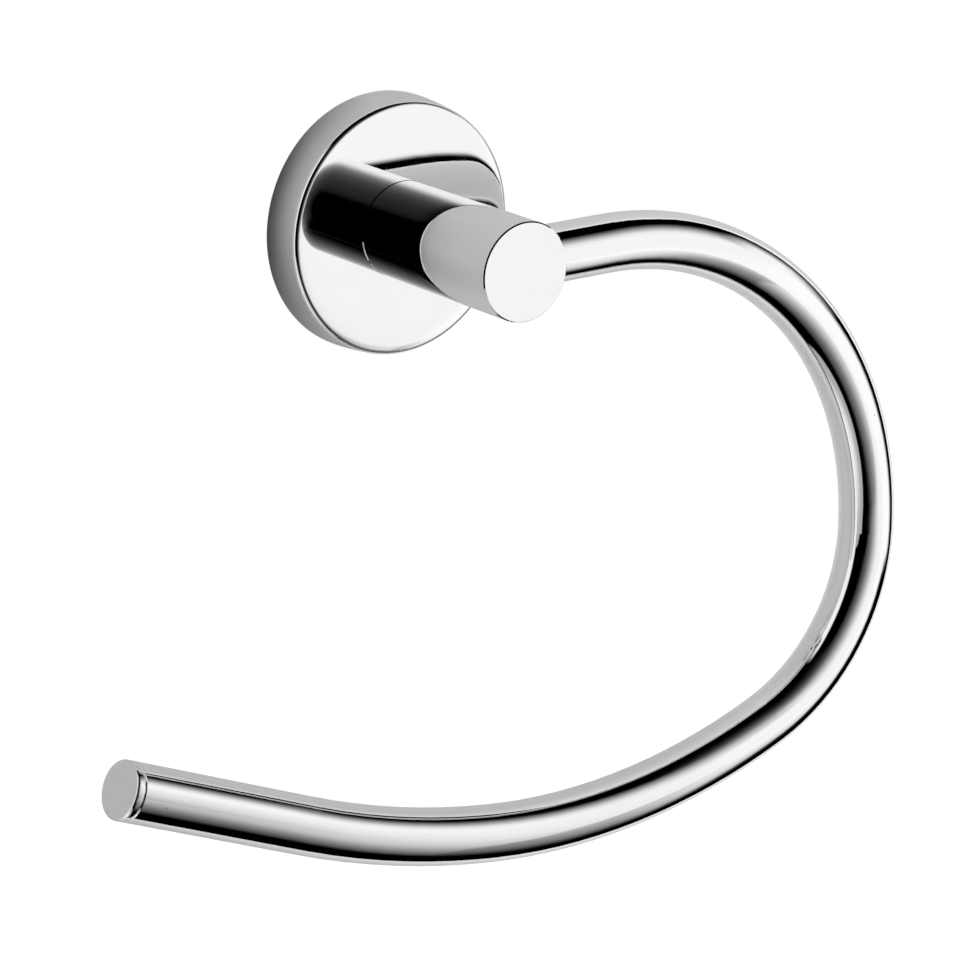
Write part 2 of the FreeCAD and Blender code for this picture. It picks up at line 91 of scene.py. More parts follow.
# Node graph helpers
class Graph:
    """A node tree that is wired by name."""

    def __init__(self, tree):
        self.tree = tree
        self.column = 0

    def add(self, kind, settings=None, inputs=None):
        """Adds a node, sets its options, and wires or fills the inputs named."""
        node = self.tree.nodes.new(kind)
        node.location = (self.column * 190, -(self.column % 4) * 160)
        self.column += 1
        for name, value in (settings or {}).items():
            setattr(node, name, value)
        for name, value in (inputs or {}).items():
            self.feed(node, name, value)
        return node

    def feed(self, node, name, value):
        """Wires an output into an input, or sets the input's own value."""
        if isinstance(value, bpy.types.NodeSocket):
            self.tree.links.new(value, node.inputs[name])
        else:
            node.inputs[name].default_value = value

    def math(self, operation, first, second=0.0, third=0.0, clamp=False):
        """One step of arithmetic."""
        return self.add(
            "ShaderNodeMath",
            {"operation": operation, "use_clamp": clamp},
            {0: first, 1: second, 2: third},
        ).outputs[0]

    def spread(self, value, low, high, out_low=0.0, out_high=1.0, kind="LINEAR"):
        """Carries a value from one range to another."""
        return self.add(
            "ShaderNodeMapRange",
            {"interpolation_type": kind, "clamp": True},
            {
                "Value": value,
                "From Min": low,
                "From Max": high,
                "To Min": out_low,
                "To Max": out_high,
            },
        ).outputs[0]

    def curve(self, value, points):
        """A value read off a line of points that rise from left to right."""
        low = points[0][0]
        high = points[-1][0]
        ramp = self.add("ShaderNodeValToRGB", {}, {"Fac": self.spread(value, low, high)})
        stops = ramp.color_ramp.elements
        while len(stops) < len(points):
            stops.new(0.5)
        for stop, (at, level) in zip(stops, points):
            stop.position = (at - low) / (high - low)
            stop.color = (level, level, level, 1.0)
        return ramp.outputs["Color"]

    def blend(self, first, second, share):
        """A number between two, by the second one's share."""
        return self.math("MULTIPLY_ADD", self.math("SUBTRACT", second, first), share, first)

    def tone(self, share, first, second):
        """A colour between two, by the second one's share."""
        inputs = {"Factor": share}
        for name, colour in (("A", first), ("B", second)):
            is_socket = isinstance(colour, bpy.types.NodeSocket)
            inputs[name] = colour if is_socket else (*colour, 1.0)
        return self.add("ShaderNodeMix", {"data_type": "RGBA"}, inputs).outputs["Result"]

    def place(self):
        """Where a spot of the surface lies."""
        return self.add("ShaderNodeTexCoord").outputs["Object"]

    def parts(self, vector):
        """A vector's three numbers."""
        return self.add("ShaderNodeSeparateXYZ", {}, {"Vector": vector}).outputs

    def vector(self, operation, inputs):
        """One step of arithmetic with vectors."""
        return self.add("ShaderNodeVectorMath", {"operation": operation}, inputs).outputs

    def noise(self, place, scale, detail=2.0, roughness=0.5):
        """Cloudy noise."""
        return self.add(
            "ShaderNodeTexNoise",
            {"noise_dimensions": "3D"},
            {"Vector": place, "Scale": scale, "Detail": detail, "Roughness": roughness},
        ).outputs

    def cells(self, place, scale):
        """Angular cells, each with its own chance colour."""
        return self.add(
            "ShaderNodeTexVoronoi",
            {"voronoi_dimensions": "3D", "feature": "F1"},
            {"Vector": place, "Scale": scale, "Randomness": 1.0},
        ).outputs

    def chances(self, cells):
        """A cell's chance numbers."""
        return self.add("ShaderNodeSeparateColor", {}, {"Color": cells["Color"]}).outputs

    def bump(self, height, relief, normal=None):
        """Fine relief, given as its strength and its depth."""
        strength, distance = relief
        inputs = {"Strength": strength, "Distance": distance, "Height": height}
        if normal is not None:
            inputs["Normal"] = normal
        return self.add("ShaderNodeBump", {}, inputs).outputs[0]

    def seen(self):
        """One where the eye or a mirror sees the surface itself."""
        ray = self.add("ShaderNodeLightPath").outputs
        seen = self.math("ADD", ray["Is Camera Ray"], ray["Is Glossy Ray"])
        return self.math("ADD", seen, ray["Is Transmission Ray"], clamp=True)

    def glow(self, colour, strength):
        """A surface that gives light."""
        inputs = {"Color": colour, "Strength": strength}
        return self.add("ShaderNodeEmission", {}, inputs).outputs[0]

    def clear(self, inputs=None):
        """A surface that light passes."""
        return self.add("ShaderNodeBsdfTransparent", {}, inputs).outputs[0]

    def either(self, share, first, second):
        """A surface between two, by the second one's share."""
        return self.add("ShaderNodeMixShader", {}, {0: share, 1: first, 2: second}).outputs[0]

    def clear_from_behind(self, front):
        """The surface as it is from in front, and clear from behind."""
        behind = self.add("ShaderNodeNewGeometry").outputs["Backfacing"]
        return self.either(behind, front, self.clear())

    def surface(self, shader):
        """Wires the last shader to the material's surface."""
        self.add("ShaderNodeOutputMaterial", {}, {"Surface": shader})

    def metal(self, colour, roughness, normal):
        """A metal as the material's surface."""
        self.surface(
            self.add(
                "ShaderNodeBsdfPrincipled",
                {},
                {"Base Color": colour, "Metallic": 1.0, "Roughness": roughness, "Normal": normal},
            ).outputs[0]
        )


def new_group(name, inputs, outputs):
    """An empty shader node group with named sockets."""
    group = bpy.data.node_groups.new(name, "ShaderNodeTree")
    for label, value in inputs:
        socket = group.interface.new_socket(label, in_out="INPUT", socket_type="NodeSocketFloat")
        socket.default_value = value
    for label in outputs:
        group.interface.new_socket(label, in_out="OUTPUT", socket_type="NodeSocketFloat")
    graph = Graph(group)
    entry = graph.add("NodeGroupInput")
    leave = graph.add("NodeGroupOutput")
    return group, graph, entry.outputs, leave


def place_group(graph, group, inputs):
    """Puts a finish group into a material with its own values."""
    return graph.add("ShaderNodeGroup", {"node_tree": group}, inputs).outputs


def new_material(name):
    """A material with an empty node graph."""
    material = bpy.data.materials.new(name)
    material.use_nodes = True
    material.node_tree.nodes.clear()
    return material, Graph(material.node_tree)


# Finishes that several metals share
def make_handling_haze():
    """Faint cloudy film that fingers and a cloth leave on polished metal."""
    group, graph, given, leave = new_group(
        "Handling haze",
        [("Cloud size", 40.0), ("Wipe stretch", 4.0), ("Lowest", 0.02), ("Highest", 0.05)],
        ["Roughness", "Film"],
    )
    place = graph.place()
    clouds = graph.noise(place, given["Cloud size"], 5.0, 0.6)["Fac"]
    stretched = graph.add(
        "ShaderNodeMapping",
        {"vector_type": "POINT"},
        {"Vector": place, "Rotation": (0.4, 0.9, 0.2), "Scale": (1.0, 6.0, 1.0)},
    ).outputs["Vector"]
    wipe_scale = graph.math("MULTIPLY", given["Cloud size"], given["Wipe stretch"])
    wipes = graph.noise(stretched, wipe_scale, 3.0, 0.5)["Fac"]
    film = graph.spread(graph.math("MULTIPLY", clouds, wipes), 0.14, 0.42, 0.0, 1.0, SOFT)
    graph.feed(leave, "Roughness", graph.blend(given["Lowest"], given["Highest"], film))
    graph.feed(leave, "Film", film)
    return group


def make_dust():
    """Tiny dark specks and lint that lie on the metal here and there."""
    group, graph, given, leave = new_group(
        "Dust",
        [("Spacing", 260.0), ("Speck size", 0.1), ("Share", 0.1)],
        ["Speck"],
    )
    place = graph.place()
    warp = graph.noise(place, LINT_FINENESS)["Color"]
    small = graph.vector("SCALE", {0: warp, "Scale": LINT_WARP})[0]
    bent = graph.vector("ADD", {0: place, 1: small})[0]
    cells = graph.cells(bent, given["Spacing"])
    chance = graph.chances(cells)
    kept = graph.math("LESS_THAN", chance["Red"], given["Share"])
    reach = graph.math("MULTIPLY", chance["Green"], given["Speck size"])
    near = graph.math("LESS_THAN", cells["Distance"], reach)
    graph.feed(leave, "Speck", graph.math("MULTIPLY", kept, near))
    return group


def make_hairlines():
    """Very fine crossed polishing lines, as a height."""
    group, graph, given, leave = new_group(
        "Hairlines",
        [("Fineness", 900.0), ("Stretch", 30.0)],
        ["Height"],
    )
    place = graph.place()
    heights = []
    for turn in ((0.0, 0.0, 0.3), (0.5, 0.2, 1.4)):
        turned = graph.add(
            "ShaderNodeVectorRotate",
            {"rotation_type": "EULER_XYZ"},
            {"Vector": place, "Rotation": turn},
        ).outputs[0]
        parts = graph.parts(turned)
        along = graph.math("DIVIDE", parts["X"], given["Stretch"])
        drawn = graph.add(
            "ShaderNodeCombineXYZ", {}, {"X": along, "Y": parts["Y"], "Z": parts["Z"]}
        ).outputs[0]
        heights.append(graph.noise(drawn, given["Fineness"], 4.0, 0.7)["Fac"])
    graph.feed(leave, "Height", graph.math("MULTIPLY", heights[0], heights[1]))
    return group


def make_brush_lines():
    """Straight brushed or turned grain, as a height and a shade."""
    group, graph, given, leave = new_group(
        "Brush lines",
        [("Across", 2600.0), ("Along", 40.0)],
        ["Height", "Shade"],
    )
    parts = graph.parts(graph.place())
    drawn = graph.add(
        "ShaderNodeCombineXYZ",
        {},
        {
            "X": graph.math("MULTIPLY", parts["X"], given["Along"]),
            "Y": graph.math("MULTIPLY", parts["Y"], given["Across"]),
            "Z": graph.math("MULTIPLY", parts["Z"], given["Across"]),
        },
    ).outputs[0]
    grain = graph.noise(drawn, 1.0, 4.0, 0.65)["Fac"]
    graph.feed(leave, "Height", grain)
    graph.feed(leave, "Shade", graph.spread(grain, 0.3, 0.7, 0.0, 1.0, SOFT))
    return group


def make_zinc_flakes():
    """Flat angular flakes of plated zinc, each a little lighter or darker."""
    group, graph, given, leave = new_group("Zinc flakes", [("Spacing", 900.0)], ["Shade"])
    cells = graph.cells(graph.place(), given["Spacing"])
    graph.feed(leave, "Shade", graph.chances(cells)["Red"])
    return group


haze = make_handling_haze()
dust = make_dust()
hairlines = make_hairlines()
brush_lines = make_brush_lines()
zinc_flakes = make_zinc_flakes()


def place_haze(graph, cloud_size, wipe_stretch, lowest, highest):
    """The cloudy film, with how rough it leaves the metal."""
    return place_group(
        graph,
        haze,
        {
            "Cloud size": cloud_size,
            "Wipe stretch": wipe_stretch,
            "Lowest": lowest,
            "Highest": highest,
        },
    )


def make_chrome(name, lowest, highest, cloud_size, dust_share, edge_softness=0.0):
    """Bright plated chrome: a clear mirror with a trace of haze, hairlines and dust.

    Where an edge is given a softness, the polish rolls over it by that much.
    """
    material, graph = new_material(name)
    film = place_haze(graph, cloud_size, CHROME_WIPE_STRETCH, lowest, highest)
    speck = place_group(
        graph, dust, {"Spacing": DUST_SPACING, "Speck size": DUST_SIZE, "Share": dust_share}
    )["Speck"]
    lines = place_group(
        graph, hairlines, {"Fineness": HAIRLINE_FINENESS, "Stretch": HAIRLINE_STRETCH}
    )
    clean = graph.tone(film["Film"], CHROME_CLEAN, CHROME_FILMED)
    colour = graph.tone(speck, clean, DUST_COLOUR)
    dull = graph.math("MULTIPLY", speck, DUST_DULLNESS)
    roughness = graph.math("ADD", film["Roughness"], dull)
    rolled = None
    if edge_softness:
        rolled = graph.add(
            "ShaderNodeBevel", {"samples": EDGE_SAMPLES}, {"Radius": edge_softness}
        ).outputs["Normal"]
    graph.metal(colour, roughness, graph.bump(lines["Height"], CHROME_RELIEF, rolled))
    return material


def make_brushed_metal(name, dark, light, lowest, highest, across, along):
    """Bare turned or brushed metal with visible grain."""
    material, graph = new_material(name)
    grain = place_group(graph, brush_lines, {"Across": across, "Along": along})
    film = place_haze(graph, BRUSHED_CLOUD_SIZE, BRUSHED_WIPE_STRETCH, lowest, highest)
    colour = graph.tone(grain["Shade"], dark, light)
    graph.metal(colour, film["Roughness"], graph.bump(grain["Height"], BRUSHED_RELIEF))
    return material


def make_zinc(name):
    """Dull zinc plating with fine flakes and darker patches."""
    material, graph = new_material(name)
    flakes = place_group(graph, zinc_flakes, {"Spacing": ZINC_FLAKE_SPACING})
    film = place_haze(graph, ZINC_CLOUD_SIZE, ZINC_WIPE_STRETCH, *ZINC_ROUGHNESS)
    mask = graph.math("MULTIPLY", flakes["Shade"], film["Film"])
    colour = graph.tone(mask, ZINC_DARK, ZINC_LIGHT)
    graph.metal(colour, film["Roughness"], graph.bump(flakes["Shade"], ZINC_RELIEF))
    return material


rose_chrome = make_chrome("Rose chrome", 0.018, 0.045, 38.0, 0.10)
screw_steel = make_brushed_metal(
    "Screw steel", (0.42, 0.43, 0.44), (0.66, 0.66, 0.65), 0.20, 0.34, 3200.0, 300.0
)

PIECE_FINISH = {
    "rose": rose_chrome,
    "post": make_chrome("Post chrome", 0.018, 0.040, 46.0, 0.10),
    "ring_tube": make_chrome("Tube chrome", 0.020, 0.045, 30.0, 0.12),
    "end_cap": make_chrome("Cap chrome", 0.020, 0.045, 70.0, 0.08, CAP_EDGE_SOFTNESS),
    "wall_plate": make_zinc("Plate zinc"),
    "rose_grub_screw": screw_steel,
    "arm_grub_screw": screw_steel,
    "post_screw": screw_steel,
    "post_washer": make_brushed_metal(
        "Washer steel", (0.50, 0.51, 0.52), (0.72, 0.72, 0.71), 0.24, 0.38, 2800.0, 60.0
    ),
    "tube_insert": make_brushed_metal(
        "Insert brass", (0.60, 0.42, 0.16), (0.86, 0.66, 0.32), 0.22, 0.36, 2400.0, 200.0
    ),
}

for name, piece in nodes.items():
    for place in range(len(piece.data.materials)):
        piece.data.materials[place] = PIECE_FINISH[name]
    if not piece.data.materials:
        piece.data.materials.append(PIECE_FINISH[name])


# Rose, turned here with a crowned face and exact normals
ROSE_FRONT_RADIUS = 0.026
ROSE_CROWN_START = 0.0200
ROSE_CROWN_LEAN = math.radians(7.0)
ROSE_CROWN_POWER = 3.0
ROSE_CROWN_STEPS = 24
ROSE_EDGE_RADIUS = 0.0012
ROSE_EDGE_STEPS = 16
ROSE_HOLE_RADIUS = 0.00505
ROSE_BORE_RADIUS = 0.0245
ROSE_FACE_THICKNESS = 0.002
ROSE_STEPS = 360
DRILL_CLEARANCE = 0.00005
DRILL_HEIGHT = -0.0258
DRILL_LENGTH = 0.01
DRILL_STEPS = 72
HOLE_REACH = 1.01
HOLE_STEEPNESS = 0.3


class Turned:
    """The outline of a turned piece: lines, rolls and arcs, each with its true normal."""

    def __init__(self):
        self.points = []
        self.parts = []

    def line(self, start, end):
        """A straight line; the metal lies on its right, seen from the front."""
        run = (end[0] - start[0], end[1] - start[1])
        length = math.hypot(*run)
        self.parts.append(("line", start, run, (run[1] / length, -run[0] / length)))
        self.points.append(start)

    def arc(self, centre, radius, first, last, steps):
        """An arc whose normal turns from the front towards the side."""
        self.parts.append(("arc", centre, radius, first, last))
        for step in range(steps):
            angle = first + (last - first) * step / steps
            self.points.append(
                (centre[0] + radius * math.sin(angle), centre[1] - radius * math.cos(angle))
            )

    def roll(self, start, end, depth):
        """A face that falls away ever more steeply. Gives how far it has fallen."""
        drop = 0.0
        step_across = (end - start) / ROSE_CROWN_STEPS
        for step in range(ROSE_CROWN_STEPS):
            self.points.append((start + step * step_across, depth + drop))
            middle = ROSE_CROWN_LEAN * ((step + 0.5) / ROSE_CROWN_STEPS) ** ROSE_CROWN_POWER
            drop += step_across * math.tan(middle)
        self.parts.append(("roll", start, end, depth, drop))
        return drop

    def part_at(self, across, depth):
        """The line, roll or arc that a spot on the surface belongs to."""
        best = None
        for part in self.parts:
            if part[0] == "line":
                start, run = part[1:3]
                along = (across - start[0]) * run[0] + (depth - start[1]) * run[1]
                along = min(1.0, max(0.0, along / (run[0] ** 2 + run[1] ** 2)))
                away = math.hypot(
                    across - start[0] - along * run[0], depth - start[1] - along * run[1]
                )
            elif part[0] == "roll":
                start, end, face, drop = part[1:]
                in_reach = face - SNUG <= depth <= face + drop + SNUG
                if not start <= across <= end or not in_reach:
                    continue
                away = 0.0
            else:
                centre, radius, first, last = part[1:]
                angle = math.atan2(across - centre[0], centre[1] - depth)
                if not first - SNUG_ANGLE <= angle <= last + SNUG_ANGLE:
                    continue
                away = abs(math.hypot(across - centre[0], depth - centre[1]) - radius)
            if best is None or away < best[0]:
                best = (away, part)
        return best[1]

    def normal_at(self, part, across, depth):
        """The true normal there, as outward and forward amounts."""
        if part[0] == "line":
            return part[3]
        if part[0] == "roll":
            start, end = part[1:3]
            share = min(1.0, max(0.0, (across - start) / (end - start)))
            angle = ROSE_CROWN_LEAN * share**ROSE_CROWN_POWER
        else:
            centre = part[1]
            angle = math.atan2(across - centre[0], centre[1] - depth)
        return math.sin(angle), -math.cos(angle)


def rose_outline(depth, back_radius):
    """The rose in section, from the post's hole over the face to the back and inside."""
    inside = -(depth - ROSE_FACE_THICKNESS)
    lean = math.atan2(back_radius - ROSE_FRONT_RADIUS, depth)
    side_angle = math.pi / 2.0 - lean
    across_edge = ROSE_EDGE_RADIUS * (math.sin(side_angle) - math.sin(ROSE_CROWN_LEAN))
    crown_end = ROSE_FRONT_RADIUS - across_edge
    outline = Turned()
    outline.line((ROSE_HOLE_RADIUS, inside), (ROSE_HOLE_RADIUS, -depth))
    outline.line((ROSE_HOLE_RADIUS, -depth), (ROSE_CROWN_START, -depth))
    drop = outline.roll(ROSE_CROWN_START, crown_end, -depth)
    centre = (
        crown_end - ROSE_EDGE_RADIUS * math.sin(ROSE_CROWN_LEAN),
        -depth + drop + ROSE_EDGE_RADIUS * math.cos(ROSE_CROWN_LEAN),
    )
    outline.arc(centre, ROSE_EDGE_RADIUS, ROSE_CROWN_LEAN, side_angle, ROSE_EDGE_STEPS)
    edge_end = (
        centre[0] + ROSE_EDGE_RADIUS * math.sin(side_angle),
        centre[1] - ROSE_EDGE_RADIUS * math.cos(side_angle),
    )
    outline.line(edge_end, (back_radius, 0.0))
    outline.line((back_radius, 0.0), (ROSE_BORE_RADIUS, 0.0))
    outline.line((ROSE_BORE_RADIUS, 0.0), (ROSE_BORE_RADIUS, inside))
    outline.line((ROSE_BORE_RADIUS, inside), (ROSE_HOLE_RADIUS, inside))
    return outline


def add_mesh_object(name, fill):
    """An object from a bmesh that a function fills."""
    build = bmesh.new()
    fill(build)
    mesh = bpy.data.meshes.new(name)
    build.to_mesh(mesh)
    build.free()
    placed = bpy.data.objects.new(name, mesh)
    scene.collection.objects.link(placed)
    return placed


def fill_rose(build, outline):
    """The outline, turned once round."""
    rows = []
    for step in range(ROSE_STEPS):
        turn = 2.0 * math.pi * (step + 0.5) / ROSE_STEPS
        rows.append(
            [
                build.verts.new((across * math.cos(turn), depth, across * math.sin(turn)))
                for across, depth in outline.points
            ]
        )
    count = len(outline.points)
    for step in range(ROSE_STEPS):
        here = rows[step]
        there = rows[(step + 1) % ROSE_STEPS]
        for place in range(count):
            after = (place + 1) % count
            build.faces.new((here[place], there[place], there[after], here[after]))
    bmesh.ops.recalc_face_normals(build, faces=build.faces)


def fill_drill(build, radius, depth):
    """A round bar through the rose's lower side."""
    bmesh.ops.create_cone(
        build,
        cap_ends=True,
        segments=DRILL_STEPS,
        radius1=radius,
        radius2=radius,
        depth=DRILL_LENGTH,
    )
    bmesh.ops.translate(build, verts=build.verts, vec=(0.0, depth, DRILL_HEIGHT))


def cut_away(blank, tool):
    """The blank's mesh without what the tool takes. Both objects go."""
    cut = blank.modifiers.new("Screw hole", "BOOLEAN")
    cut.operation = "DIFFERENCE"
    cut.solver = "EXACT"
    cut.object = tool
    shaped = bpy.data.meshes.new_from_object(
        blank.evaluated_get(bpy.context.evaluated_depsgraph_get())
    )
    bpy.data.objects.remove(blank)
    bpy.data.objects.remove(tool)
    return shaped


def make_rose():
    """The rose with the screw hole through its lower side."""
    lowest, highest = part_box("rose")
    screw_low, screw_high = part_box("rose_grub_screw")
    outline = rose_outline(-lowest[1], highest[0])
    hole_radius = (screw_high[0] - screw_low[0]) / 2.0 + DRILL_CLEARANCE
    hole_depth = (screw_low[1] + screw_high[1]) / 2.0
    blank = add_mesh_object("Rose blank", lambda build: fill_rose(build, outline))
    drill = add_mesh_object("Drill", lambda build: fill_drill(build, hole_radius, hole_depth))
    shaped = cut_away(blank, drill)
    shaped.name = "Rose body"

    normals = [None] * len(shaped.loops)
    for face in shaped.polygons:
        face.use_smooth = True
        middle = face.center
        in_hole = (
            middle.z < 0.0
            and math.hypot(middle.x, middle.y - hole_depth) < hole_radius * HOLE_REACH
            and abs(face.normal.z) < HOLE_STEEPNESS
        )
        part = outline.part_at(math.hypot(middle.x, middle.z), middle.y)
        for loop in face.loop_indices:
            corner = shaped.vertices[shaped.loops[loop].vertex_index].co
            if in_hole:
                normal = Vector((-corner.x, hole_depth - corner.y, 0.0)).normalized()
            else:
                away = math.hypot(corner.x, corner.z)
                outward, forward = outline.normal_at(part, away, corner.y)
                normal = Vector((outward * corner.x / away, forward, outward * corner.z / away))
            normals[loop] = normal
    shaped.normals_split_custom_set(normals)
    shaped.materials.clear()
    shaped.materials.append(rose_chrome)
    rose = bpy.data.objects.new("crowned_rose", shaped)
    scene.collection.objects.link(rose)
    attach(rose, "root")
    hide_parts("rose")


make_rose()


# Studio, in metres
STUDIO_CENTRE = Vector((0.02, -0.03, -0.06))
TENT_RADIUS = 0.55
TENT_CENTRE = Vector((0.070, -0.045, -0.095))
FAR_TENT_RADIUS = 1.8
TENT_BACK = 0.15
TENT_AROUND = 96
TENT_RINGS = 40
TENT_STRENGTH = 1.02

# Board in the wall's plane: its outline, and its brightness by place: painted light, lighter
# towards the right where the key lamp shines from; lighter further out; and the rose's painted
# shadow on its left
BOARD_OUTLINE = [
    (-0.60, -0.60),
    (0.36, -0.60),
    (0.26, -0.30),
    (0.205, -0.10),
    (0.205, 0.05),
    (0.23, 0.12),
    (0.30, 0.22),
    (0.34, 0.29),
    (-0.60, 0.29),
]
BOARD_HOLE = 0.0272
BOARD_SETBACK = 0.0004
BOARD_AROUND = 96
# Painted light: lighter towards the right, where the key lamp shines from; then lighter further
# out
BOARD_PAINTED_LIGHT_SIDEWAYS = (-0.1, 0.12, 0.585, 0.745)
BOARD_OUTWARDS = (0.19, 0.27, 1.0, 1.25)
# Painted shadow of the rose: how dark by distance from the rose's middle, and the side where it
# falls
BOARD_PAINTED_SHADOW = [
    (0.027, 0.18),
    (0.029, 0.33),
    (0.0315, 0.60),
    (0.035, 0.85),
    (0.042, 0.96),
    (0.055, 1.0),
]
PAINTED_SHADOW_SIDE = (-0.98, 0.0, 0.2)
PAINTED_SHADOW_REACH = (0.25, 0.95)

# Tall screen in the tent: brightness by direction. Its top shows left of the opening alone
SCREEN_SIDEWAYS = [
    (-0.65, 0.0),
    (-0.60, 0.02),
    (-0.50, 0.07),
    (-0.40, 0.12),
    (-0.30, 0.21),
    (-0.20, 0.32),
    (-0.10, 0.46),
    (0.00, 0.61),
    (0.10, 0.78),
    (0.20, 0.92),
    (0.30, 1.00),
]
SCREEN_UPWARDS = [
    (-0.35, 0.96),
    (0.05, 1.00),
    (0.30, 0.97),
    (0.40, 0.90),
    (0.45, 0.83),
    (0.50, 0.74),
    (0.55, 0.60),
    (0.60, 0.45),
    (0.65, 0.32),
    (0.70, 0.21),
    (0.75, 0.13),
    (0.80, 0.07),
    (0.85, 0.03),
    (0.95, 0.0),
]
SCREEN_BOW = 0.5
SCREEN_BOW_MOST = 0.14
SCREEN_LEFT_EDGE = (-0.545, -0.445, 0.0, 1.0, SOFT)
RIM_SHADE = (-0.55, -0.20, 1.0, 0.0, SOFT)

# Bright side screen, right of the tall one
SIDE_LEAN = math.radians(-24.8)
SIDE_START = (0.56, 0.66, 0.0, 1.0, SOFT)
SIDE_BACKWARDS = (-0.36, -0.14, 1.06, 0.0)

# Table below the screens
TABLE_SIDEWAYS = [
    (-0.45, 0.0),
    (-0.30, 0.05),
    (-0.20, 0.14),
    (-0.10, 0.20),
    (0.00, 0.26),
    (0.10, 0.35),
    (0.20, 0.47),
    (0.30, 0.60),
    (0.40, 0.70),
    (0.50, 0.85),
]
TABLE_CORNER = [(0.30, 0.38), (0.42, 0.42), (0.50, 0.55), (0.57, 1.00), (0.80, 1.00)]
TABLE_CORNER_START = (0.600, 0.612)
TABLE_UPWARDS = [
    (-0.91, 0.0),
    (-0.88, 0.10),
    (-0.83, 0.24),
    (-0.76, 0.38),
    (-0.70, 0.50),
    (-0.60, 0.66),
    (-0.50, 0.83),
    (-0.40, 0.95),
    (-0.33, 1.00),
]
TABLE_TOP = (-0.36, -0.30, 0.0, 1.0, SOFT)
TABLE_END_LEAN = math.radians(-27.2)
TABLE_END = (0.83, 0.93, 1.0, 0.0, SOFT)
TABLE_LEFT_EDGE = (-0.70, -0.56, 0.0, 1.0, SOFT)
LEFT_EDGE_LEAN = math.radians(45.0)

# Small screen low on the left, and the light gap beside it
LOW_SCREEN_LEAN = math.radians(-138.8)
LOW_SCREEN = [(0.79, 0.0), (0.815, 0.42), (0.89, 0.46), (0.92, 0.62), (0.97, 0.85), (1.00, 0.90)]
LOW_SCREEN_TOP_LEAN = math.radians(-136.2)
LOW_SCREEN_TOP = (0.777, 0.793)
GAP_BACKWARDS = (-0.25, -0.16)
GAP_UPWARDS = (0.85, 0.95, 1.0, 0.0)
GAP_SIDEWAYS = (-0.60, -0.45, 0.95, 0.0)

# Opening in the tent's upper right, and the far screen behind it
OPENING_UPWARDS = (0.15, 0.35)
OPENING_SIDEWAYS = (0.20, 0.40)
FAR_LOWEST = 0.35
FAR_RISE = 0.3
FAR_SIDE = (0.865, 0.92, 0.0, 0.16)
FAR_SCREEN = [
    (1.12, 0.0),
    (1.17, 0.05),
    (1.22, 0.16),
    (1.28, 0.34),
    (1.32, 0.50),
    (1.35, 0.66),
    (1.38, 0.82),
    (1.41, 0.94),
    (1.45, 1.0),
]

# Painted shade: a clear sheet in front of the bar's free end, seen in reflections alone, that
# darkens what the bar mirrors: how dark it is by height, and how much light it passes
SHADE_SHEET_PLACE = -0.14
SHADE_SHEET_LEFT = -0.20
SHADE_SHEET_RIGHT = 0.12
SHADE_SHEET_LOWEST = -0.24
SHADE_SHEET_HIGHEST = 0.02
SHADE_SHEET_LEAN = 0.35
SHADE_SHEET_MIDDLE = 0.12
SHADE_SHEET_DARKNESS = [
    (-0.032, 0.0),
    (-0.022, 0.1),
    (-0.014, 0.5),
    (-0.011, 0.8),
    (-0.007, 1.2),
    (-0.003, 1.1),
    (0.002, 1.0),
    (0.02, 0.75),
    (0.057, 0.35),
    (0.09, 0.0),
]
SHADE_SHEET_SIDEWAYS = (-0.02, 0.11, 1.0, 0.0)
SHADE_SHEET_PASSES = (0.0, 1.2, 1.0, 0.48)

# Floor and world
FLOOR_HEIGHT = -2.0
FLOOR_HALF = 4.0
FLOOR_LIFT = 0.5
FLOOR_CLOUD_SCALE = 3.0
FLOOR_DARK = (0.90, 0.90, 0.90)
FLOOR_LIGHT = (0.94, 0.94, 0.94)
WORLD_LEVEL = 0.62
BACKGROUND_LEVEL = 1.0


def show_in_reflections_alone(placed):
    """The piece of studio shows in polished metal alone."""
    placed.visible_camera = False
    placed.visible_diffuse = False
    placed.visible_shadow = False
    placed.visible_volume_scatter = False


def turns(count):
    """Angles evenly spread over one turn."""
    return [2.0 * math.pi * step / count for step in range(count)]


def reach_to_outline(aim, outline):
    """How far an outline lies from the middle in one direction."""
    nearest = math.inf
    for first, second in zip(outline, outline[1:] + outline[:1]):
        side = (second[0] - first[0], second[1] - first[1])
        across = aim[0] * side[1] - aim[1] * side[0]
        if abs(across) < NEARLY_PARALLEL:
            continue
        reach = (first[0] * side[1] - first[1] * side[0]) / across
        along = (first[0] * aim[1] - first[1] * aim[0]) / across
        if reach > 0.0 and -SNUG <= along <= 1.0 + SNUG:
            nearest = min(nearest, reach)
    return nearest


def fill_board(build):
    """A flat board in the wall's plane, cut out round the rose."""
    rim = []
    edge = []
    for turn in turns(BOARD_AROUND):
        aim = (math.cos(turn), math.sin(turn))
        reach = reach_to_outline(aim, BOARD_OUTLINE)
        rim.append(build.verts.new((BOARD_HOLE * aim[0], BOARD_SETBACK, BOARD_HOLE * aim[1])))
        edge.append(build.verts.new((reach * aim[0], BOARD_SETBACK, reach * aim[1])))
    for step in range(BOARD_AROUND):
        after = (step + 1) % BOARD_AROUND
        build.faces.new((rim[step], edge[step], edge[after], rim[after]))


